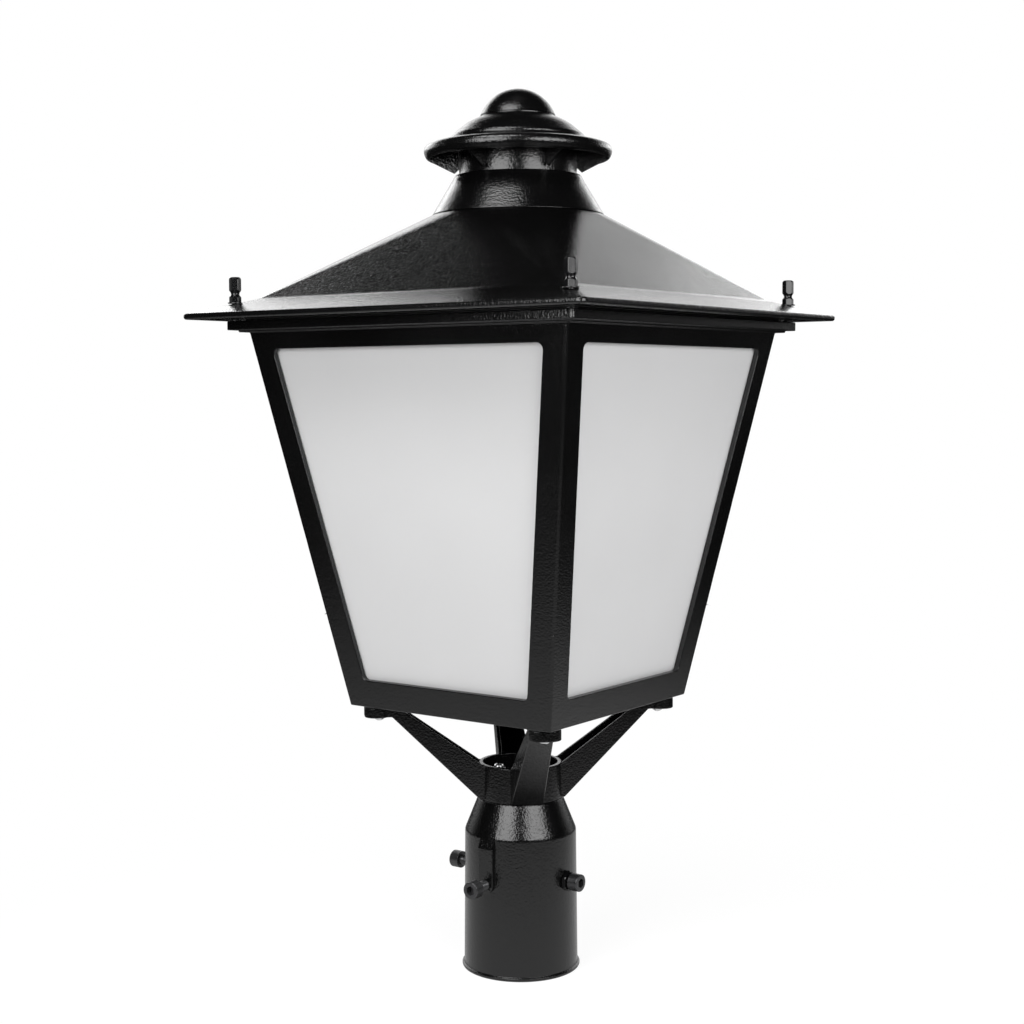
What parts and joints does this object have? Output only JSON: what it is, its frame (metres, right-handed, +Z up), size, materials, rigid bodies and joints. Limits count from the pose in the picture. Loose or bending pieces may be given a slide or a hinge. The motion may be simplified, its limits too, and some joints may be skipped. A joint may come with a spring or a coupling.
{
  "type": "post top lantern",
  "caption": "Four-sided tapered post top lantern with frosted panes, a hipped roof with a vented cap, an arm bracket and a clamped collar that fits over a post.",
  "frame": {"origin": "centre of the collar's bore at its bottom rim", "axes": "+Z up along the post; -Y towards the pane shown widest in the picture, +X towards the other pane it shows"},
  "size_m": [0.36, 0.36, 0.678],
  "materials": {
    "black_casting": "satin",
    "black_stud": "gloss",
    "dark_screw": "satin",
    "bright_screw": "gloss",
    "zinc_steel": "satin",
    "frosted_pane": "matte",
    "seal_rubber": "matte",
    "bare_aluminium": "satin",
    "white_sheet": "satin",
    "black_plastic": "matte",
    "white_plastic": "satin",
    "clear_lens": "gloss",
    "light_chip": "satin",
    "brass_screw": "satin"
  },
  "bodies": {
    "base": {"arm_pads": "seal_rubber", "arm_screws": "bright_screw", "arm_spider": "black_casting", "cable_gland": "black_plastic", "cage_frame": "black_casting", "clamp_jam_nuts": "black_stud", "floor_tray": "white_sheet", "gland_nut": "black_plastic", "hub_screws": "bright_screw", "pane_back": "frosted_pane", "pane_front": "frosted_pane", "pane_left": "frosted_pane", "pane_retainers": "bare_aluminium", "pane_right": "frosted_pane", "pane_seals": "seal_rubber", "post_fitter": "black_casting", "retainer_screws": "zinc_steel", "roof_seal": "seal_rubber", "tray_screws": "zinc_steel"},
    "roof": {"roof": "black_casting", "stud_washers": "zinc_steel", "stud_clips": "zinc_steel", "vent_cone": "black_casting", "cone_screws": "zinc_steel", "cap": "black_casting", "finial": "black_casting", "cap_rod": "zinc_steel", "cap_strap": "zinc_steel", "rod_nut": "zinc_steel", "gear_tray": "white_sheet", "gear_screws": "zinc_steel", "light_board": "white_sheet", "light_chips": "light_chip", "lens": "clear_lens", "lens_ring": "white_sheet", "lens_screws": "zinc_steel", "heat_sink": "bare_aluminium", "driver": "white_plastic", "driver_brackets": "zinc_steel", "bracket_screws": "zinc_steel", "terminal_block": "white_plastic", "earth_screw": "brass_screw"},
    "stud_front_right": {"roof_stud_front_right": "black_stud"},
    "stud_back_right": {"roof_stud_back_right": "black_stud"},
    "stud_back_left": {"roof_stud_back_left": "black_stud"},
    "stud_front_left": {"roof_stud_front_left": "black_stud"},
    "clamp_front": {"clamp_screw_front": "dark_screw"},
    "clamp_right": {"clamp_screw_right": "dark_screw"},
    "clamp_back": {"clamp_screw_back": "dark_screw"},
    "clamp_left": {"clamp_screw_left": "dark_screw"}
  },
  "joints": [
    {"name": "roof_lift", "type": "slide", "parent": "base", "child": "roof", "axis": [0, 0, 1], "range_m": [0, 0.12]},
    {"name": "stud_front_right_turn", "type": "hinge", "parent": "roof", "child": "stud_front_right", "pos_m": [0.1515, -0.1515, 0.516], "axis": [0, 0, 1], "continuous": true},
    {"name": "stud_back_right_turn", "type": "hinge", "parent": "roof", "child": "stud_back_right", "pos_m": [0.1515, 0.1515, 0.516], "axis": [0, 0, 1], "continuous": true},
    {"name": "stud_back_left_turn", "type": "hinge", "parent": "roof", "child": "stud_back_left", "pos_m": [-0.1515, 0.1515, 0.516], "axis": [0, 0, 1], "continuous": true},
    {"name": "stud_front_left_turn", "type": "hinge", "parent": "roof", "child": "stud_front_left", "pos_m": [-0.1515, -0.1515, 0.516], "axis": [0, 0, 1], "continuous": true},
    {"name": "clamp_front_drive", "type": "slide", "parent": "base", "child": "clamp_front", "axis": [0, 1, 0], "range_m": [-0.008, 0.01025]},
    {"name": "clamp_right_drive", "type": "slide", "parent": "base", "child": "clamp_right", "axis": [-1, 0, 0], "range_m": [-0.008, 0.0014]},
    {"name": "clamp_back_drive", "type": "slide", "parent": "base", "child": "clamp_back", "axis": [0, -1, 0], "range_m": [-0.008, 0.0055]},
    {"name": "clamp_left_drive", "type": "slide", "parent": "base", "child": "clamp_left", "axis": [1, 0, 0], "range_m": [-0.008, 0.011]}
  ]
}
